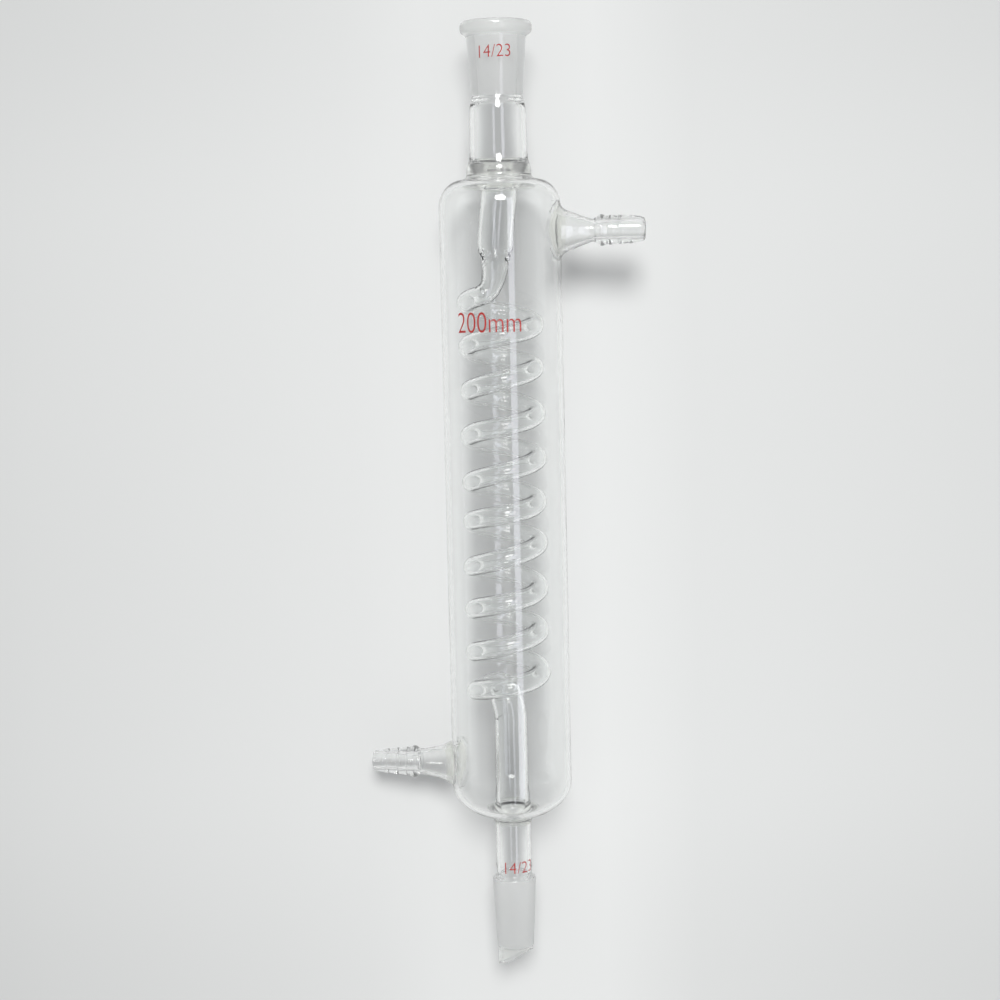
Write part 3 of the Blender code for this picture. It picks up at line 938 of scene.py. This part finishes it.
def printed(name, words, tall, wide, side, turn, height, rise=0.0):
    """Enamel figures wrapped round a tube, tall and wide in mm.

    side is the tube's heights and the radii there, turn the degrees round from the front, and
    rise the slant of the line in degrees.
    """
    mesh = text_mesh(name, words)
    co = np.array([v.co for v in mesh.vertices])
    low, high = co.min(0), co.max(0)
    for vertex in mesh.vertices:
        x = (vertex.co.x - (low[0] + high[0]) / 2) * (wide / (high[0] - low[0]))
        y = (vertex.co.y - (low[1] + high[1]) / 2) * (tall / (high[1] - low[1]))
        vertex.co = (x, y, 0.0)
    bm = bmesh.new()
    bm.from_mesh(mesh)
    strips = int(wide / PRINT_STRIP)
    for k in range(1, strips):
        everything = bm.verts[:] + bm.edges[:] + bm.faces[:]
        cut = (-wide / 2 + wide * k / strips, 0, 0)
        bmesh.ops.bisect_plane(bm, geom=everything, plane_co=cut, plane_no=(1, 0, 0))
    for vertex in bm.verts:
        x, y = vertex.co.x, vertex.co.y
        angle = FRONT + math.radians(turn) + x / float(np.interp(height + y, *side))
        z = height + y + x * math.tan(math.radians(rise))
        r = float(np.interp(z, *side)) + PRINT_LIFT
        vertex.co = (r * math.cos(angle), r * math.sin(angle), z)
    bm.to_mesh(mesh)
    bm.free()
    mesh.transform(TO_WORLD)
    mesh.materials.append(PRINT)
    return new_object(name, mesh)


ON_JACKET = ((0.0,), (JACKET_R,))
ON_SOCKET = ((293.5, 300.0, 307.0, 310.4), (8.4, 8.95, 9.55, 9.75))
ON_STEM = ((0.0,), (TUBE_R,))
prints = [
    printed("jacket_figures", "200mm", 6.5, 21.8, ON_JACKET, -13.8, 218.4),
    printed("socket_figures", "14/23", 3.9, 10.6, ON_SOCKET, -4, 305.1, rise=1.5),
    printed("stem_figures", "14/23", 3.9, 10.4, ON_STEM, 19, 35.8, rise=2.0),
]


# ---------------------------------------------------------------- frame, bench, lamps, room, camera

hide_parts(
    "water_jacket", "top_ring_seal", "base_ring_seal", "upper_side_arm", "lower_side_arm"
)
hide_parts("drop_tube", "coil_inlet_bend", "cooling_coil", "coil_outlet_bend", "outlet_tube")
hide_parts("ground_socket", "neck_tube")
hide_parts("lower_stem", "ground_cone", "drip_tip")
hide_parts("upper_hose_barb")
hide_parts("lower_hose_barb")
for obj in [jacket_glass, coil_glass, socket_glass, stem_glass, upper_barb, lower_barb] + prints:
    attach(obj, "root")

bpy.ops.mesh.primitive_plane_add(size=4.0, location=(0, 0, 0))
bench = bpy.context.object
bench.name = "bench"
bench.data.materials.append(PAPER)


def lamp(name, shape, right, ahead, distance, size, radiance, colour):
    """A soft box that faces the object; right and ahead are its angles from straight above."""
    data = bpy.data.lights.new(name, "AREA")
    data.shape = shape
    data.size, data.size_y = size
    area = size[0] * size[1] * (math.pi / 4 if shape == "ELLIPSE" else 1)
    data.energy = radiance * math.pi * area
    data.color = colour
    obj = new_object(name, data)
    away = Vector((math.tan(math.radians(right)), math.tan(math.radians(ahead)), 1.0)).normalized()
    along = (Vector((0, 1, 0)) - away * away.y).normalized()
    turn = Matrix((along.cross(away), along, away)).transposed().to_4x4()
    obj.matrix_world = Matrix.Translation(away * distance) @ turn
    return obj


lamp("key_softbox", "ELLIPSE", 1.5, 28.0, 7.0, (2.45, 2.5), 23.4, (1.0, 0.995, 0.985))
# A long cool strip that only shows as a reflection down the jacket.
strip = lamp("strip_light", "RECTANGLE", 19.6, -6.0, 3.0, (0.62, 4.2), 3.2, (0.90, 0.90, 1.0))
strip.visible_diffuse = False


def room():
    """A room that is light near the floor and grey overhead.

    It shows bright in the glass, while the bench gets most of its light from the lamps.
    """
    world = bpy.data.worlds.new("room")
    bpy.context.scene.world = world
    world.use_nodes = True
    tree = world.node_tree
    background = tree.nodes["Background"]
    where = node(tree, "ShaderNodeTexCoord")
    apart = node(tree, "ShaderNodeSeparateXYZ")
    height = node(tree, "ShaderNodeValToRGB")
    set_ends(height, (0.0, 0.93), ((1.02, 1.04, 1.04), (0.40, 0.40, 0.41)))
    height.color_ramp.elements.new(0.5).color = (0.80, 0.81, 0.82, 1)
    tree.links.new(where.outputs["Generated"], apart.inputs[0])
    tree.links.new(apart.outputs["Z"], height.inputs["Fac"])
    tree.links.new(height.outputs["Color"], background.inputs["Color"])
    path = node(tree, "ShaderNodeLightPath")
    in_glass = node(tree, "ShaderNodeMath", operation="MAXIMUM")
    strength = node(tree, "ShaderNodeMapRange")
    set_range(strength, 0.0, 1.0, to_low=0.60)
    tree.links.new(path.outputs["Is Glossy Ray"], in_glass.inputs[0])
    tree.links.new(path.outputs["Is Transmission Ray"], in_glass.inputs[1])
    tree.links.new(in_glass.outputs[0], strength.inputs["Value"])
    tree.links.new(strength.outputs["Result"], background.inputs["Strength"])


room()

CAMERA_DISTANCE = 0.65
CAMERA_TARGET = Vector((-0.00203, 0.0017, 0.01996))
CAMERA_TILT = math.radians(5.58)  # how far the camera stands from straight above, socket side
CAMERA_TURN = math.radians(-1.29)

camera = bpy.data.cameras.new("camera")
camera.lens = 70.4
camera.sensor_width = 36.0
camera.clip_start = 0.01
eye = new_object("camera", camera)
back = CAMERA_DISTANCE * Vector((0.0, math.sin(CAMERA_TILT), math.cos(CAMERA_TILT)))
turn = Matrix.Rotation(-CAMERA_TILT, 4, "X") @ Matrix.Rotation(CAMERA_TURN, 4, "Z")
eye.matrix_world = Matrix.Translation(CAMERA_TARGET + back) @ turn

scene = bpy.context.scene
scene.camera = eye
scene.view_settings.view_transform = "Standard"
scene.view_settings.look = "None"
# Light crosses many walls of glass before it is out again.
GLASS_BOUNCES = 40
scene.cycles.max_bounces = GLASS_BOUNCES
scene.cycles.transmission_bounces = GLASS_BOUNCES
scene.cycles.transparent_max_bounces = 32
scene.cycles.caustics_reflective = False
scene.cycles.caustics_refractive = False
